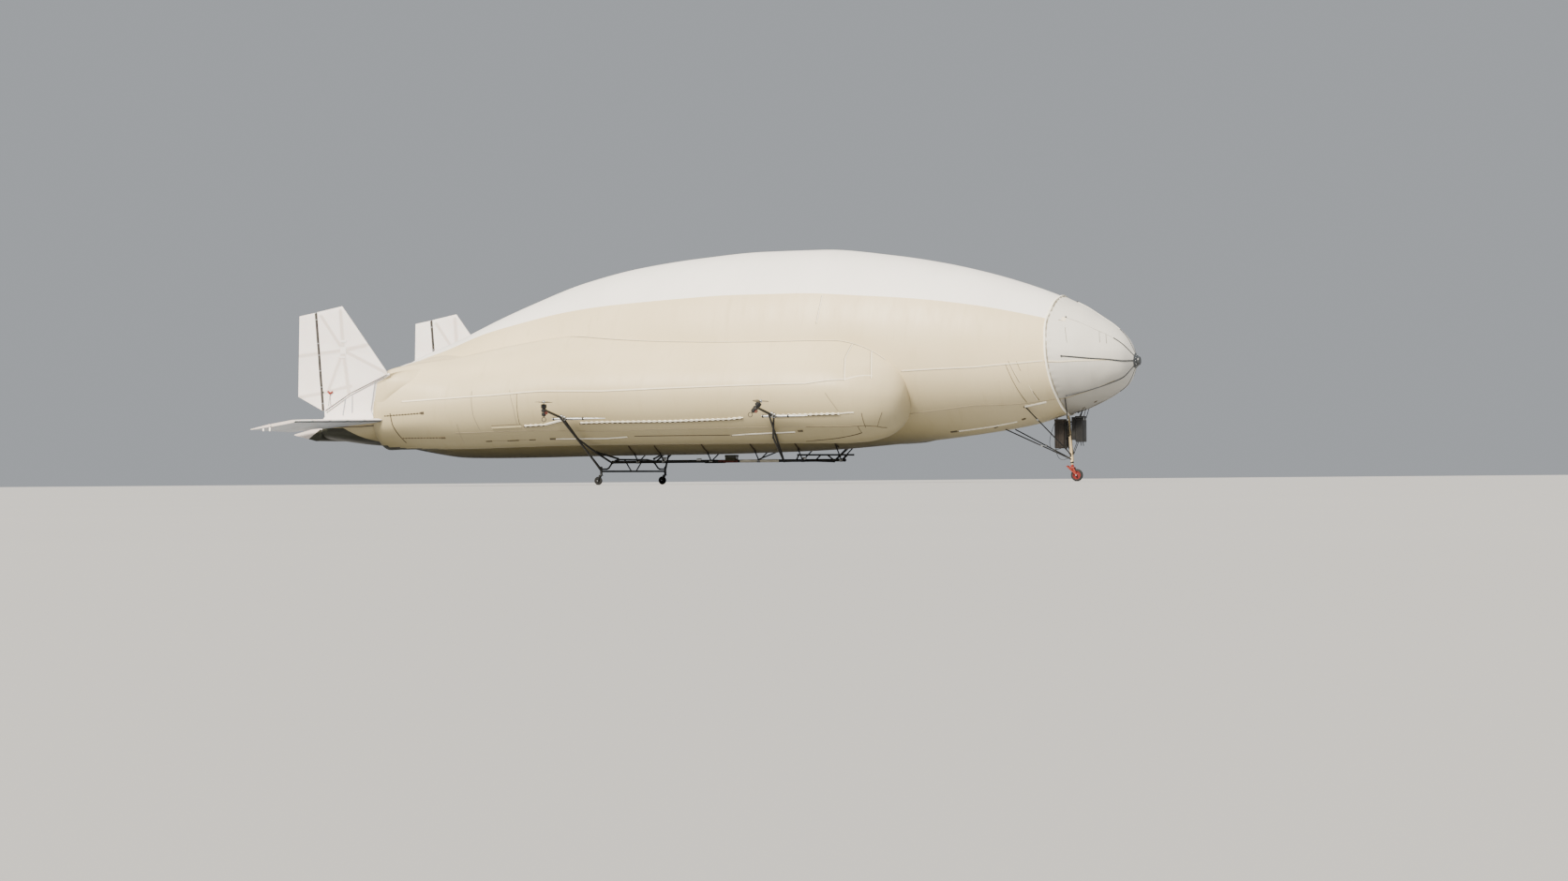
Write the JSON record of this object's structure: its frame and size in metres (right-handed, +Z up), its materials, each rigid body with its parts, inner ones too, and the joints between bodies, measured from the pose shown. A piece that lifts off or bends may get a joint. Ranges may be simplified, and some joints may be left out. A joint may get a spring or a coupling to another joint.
{
  "type": "three-lobed airship",
  "caption": "Small three-lobed airship with upright fins, tilting propellers on outboard arms, a keel truss and castering wheels under a white and cream envelope",
  "frame": {"origin": "centre of the bounding box on the floor plane, under the middle of the hull", "axes": "+X towards the nose, +Y to port, +Z up"},
  "size_m": [18.1709, 9.7, 4.96],
  "materials": {
    "envelope_fabric": "satin coated airship fabric, white above and cream below",
    "nose_fabric": "satin coated airship fabric, off-white",
    "tail_fabric": "satin coated airship fabric, white",
    "fin_film": "thin white film stretched over a light frame",
    "mooring_metal": "satin dark grey paint",
    "truss_metal": "satin black paint",
    "rail_metal": "bare tube, dull",
    "head_plastic": "matt dark plastic",
    "propeller_blade": "matt black composite",
    "leg_paint": "satin tan paint",
    "caster_paint": "orange-red paint",
    "tyre_rubber": "black rubber",
    "box_plastic": "matt charcoal",
    "olive_plastic": "matt olive"
  },
  "bodies": {
    "hull": {"envelope": "envelope_fabric", "nose_cover": "nose_fabric", "tail_section": "tail_fabric", "side_lobe_port": "envelope_fabric", "side_lobe_starboard": "envelope_fabric", "mooring_cap": "mooring_metal", "fin_port": "fin_film", "fin_starboard": "fin_film", "stabilizer_port": "fin_film", "stabilizer_starboard": "fin_film", "keel_truss": "truss_metal", "keel_box": "olive_plastic", "axle_truss": "truss_metal", "engine_arm_front_port": "truss_metal", "engine_arm_front_starboard": "truss_metal", "engine_arm_rear_port": "truss_metal", "engine_arm_rear_starboard": "truss_metal", "engine_rail_front_port": "rail_metal", "engine_rail_front_starboard": "rail_metal", "engine_rail_rear_port": "rail_metal", "engine_rail_rear_starboard": "rail_metal", "nose_leg": "leg_paint", "nose_strut_rear_port": "leg_paint", "nose_strut_rear_starboard": "leg_paint", "nose_strut_side_port": "leg_paint", "nose_strut_side_starboard": "leg_paint", "nose_strut_brace_port": "leg_paint", "nose_strut_brace_starboard": "leg_paint", "equipment_box_front": "box_plastic", "equipment_box_rear": "box_plastic"},
    "tilt_head_front_port": {"tilt_head_front_port": "head_plastic"},
    "tilt_head_front_starboard": {"tilt_head_front_starboard": "head_plastic"},
    "tilt_head_rear_port": {"tilt_head_rear_port": "head_plastic"},
    "tilt_head_rear_starboard": {"tilt_head_rear_starboard": "head_plastic"},
    "propeller_front_port": {"propeller_front_port": "propeller_blade"},
    "propeller_front_starboard": {"propeller_front_starboard": "propeller_blade"},
    "propeller_rear_port": {"propeller_rear_port": "propeller_blade"},
    "propeller_rear_starboard": {"propeller_rear_starboard": "propeller_blade"},
    "rudder_port": {"rudder_port": "fin_film"},
    "rudder_starboard": {"rudder_starboard": "fin_film"},
    "elevator_port": {"elevator_port": "fin_film"},
    "elevator_starboard": {"elevator_starboard": "fin_film"},
    "elevator_centre": {"elevator_centre": "fin_film"},
    "rear_caster_port": {"rear_caster_port": "truss_metal"},
    "rear_caster_starboard": {"rear_caster_starboard": "truss_metal"},
    "rear_wheel_port": {"rear_wheel_port": "tyre_rubber"},
    "rear_wheel_starboard": {"rear_wheel_starboard": "tyre_rubber"},
    "nose_caster": {"nose_caster": "caster_paint"},
    "nose_wheel": {"nose_wheel": "tyre_rubber"}
  },
  "joints": [
    {"name": "tilt_front_port", "type": "hinge", "parent": "hull", "child": "tilt_head_front_port", "pos_m": [2.105, 4.05, 1.56], "axis": [0, 1, 0], "range_deg": [-50, 60]},
    {"name": "tilt_front_starboard", "type": "hinge", "parent": "hull", "child": "tilt_head_front_starboard", "pos_m": [2.105, -4.05, 1.56], "axis": [0, 1, 0], "range_deg": [-50, 60]},
    {"name": "tilt_rear_port", "type": "hinge", "parent": "hull", "child": "tilt_head_rear_port", "pos_m": [-2.635, 4.05, 1.56], "axis": [0, 1, 0], "range_deg": [-10, 100]},
    {"name": "tilt_rear_starboard", "type": "hinge", "parent": "hull", "child": "tilt_head_rear_starboard", "pos_m": [-2.635, -4.05, 1.56], "axis": [0, 1, 0], "range_deg": [-10, 100]},
    {"name": "spin_front_port", "type": "hinge", "parent": "tilt_head_front_port", "child": "propeller_front_port", "pos_m": [2.105, 4.05, 1.56], "axis": [0.6428, 0, 0.766], "continuous": true},
    {"name": "spin_front_starboard", "type": "hinge", "parent": "tilt_head_front_starboard", "child": "propeller_front_starboard", "pos_m": [2.105, -4.05, 1.56], "axis": [0.6428, 0, 0.766], "continuous": true},
    {"name": "spin_rear_port", "type": "hinge", "parent": "tilt_head_rear_port", "child": "propeller_rear_port", "pos_m": [-2.635, 4.05, 1.56], "axis": [0, 0, 1], "continuous": true},
    {"name": "spin_rear_starboard", "type": "hinge", "parent": "tilt_head_rear_starboard", "child": "propeller_rear_starboard", "pos_m": [-2.635, -4.05, 1.56], "axis": [0, 0, 1], "continuous": true},
    {"name": "rudder_hinge_port", "type": "hinge", "parent": "hull", "child": "rudder_port", "pos_m": [-8.335, 2.883, 1.605], "axis": [-0.0742, 0, 0.9972], "range_deg": [-25, 25]},
    {"name": "rudder_hinge_starboard", "type": "hinge", "parent": "hull", "child": "rudder_starboard", "pos_m": [-8.335, -2.883, 1.605], "axis": [-0.0742, 0, 0.9972], "range_deg": [-25, 25]},
    {"name": "elevator_hinge_port", "type": "hinge", "parent": "hull", "child": "elevator_port", "pos_m": [-8.335, 2.935, 1.296], "axis": [-0.1457, 0.9893, 0.0077], "range_deg": [-25, 25]},
    {"name": "elevator_hinge_starboard", "type": "hinge", "parent": "hull", "child": "elevator_starboard", "pos_m": [-8.335, -2.935, 1.296], "axis": [0.1457, 0.9893, -0.0077], "range_deg": [-25, 25]},
    {"name": "elevator_hinge_centre", "type": "hinge", "parent": "hull", "child": "elevator_centre", "pos_m": [-8.54, 0, 1.13], "axis": [0, 1, 0], "range_deg": [-25, 25]},
    {"name": "rear_swivel_port", "type": "hinge", "parent": "hull", "child": "rear_caster_port", "pos_m": [-2.325, 1.77, 0.258], "axis": [0, 0, 1], "continuous": true},
    {"name": "rear_swivel_starboard", "type": "hinge", "parent": "hull", "child": "rear_caster_starboard", "pos_m": [-2.325, -1.77, 0.258], "axis": [0, 0, 1], "continuous": true},
    {"name": "rear_wheel_spin_port", "type": "hinge", "parent": "rear_caster_port", "child": "rear_wheel_port", "pos_m": [-2.395, 1.77, 0.09], "axis": [0, 1, 0], "continuous": true},
    {"name": "rear_wheel_spin_starboard", "type": "hinge", "parent": "rear_caster_starboard", "child": "rear_wheel_starboard", "pos_m": [-2.395, -1.77, 0.09], "axis": [0, 1, 0], "continuous": true},
    {"name": "nose_swivel", "type": "hinge", "parent": "hull", "child": "nose_caster", "pos_m": [7.595, 0, 0.352], "axis": [0, 0, 1], "continuous": true},
    {"name": "nose_wheel_spin", "type": "hinge", "parent": "nose_caster", "child": "nose_wheel", "pos_m": [7.695, 0, 0.13], "axis": [0, 1, 0], "continuous": true}
  ]
}
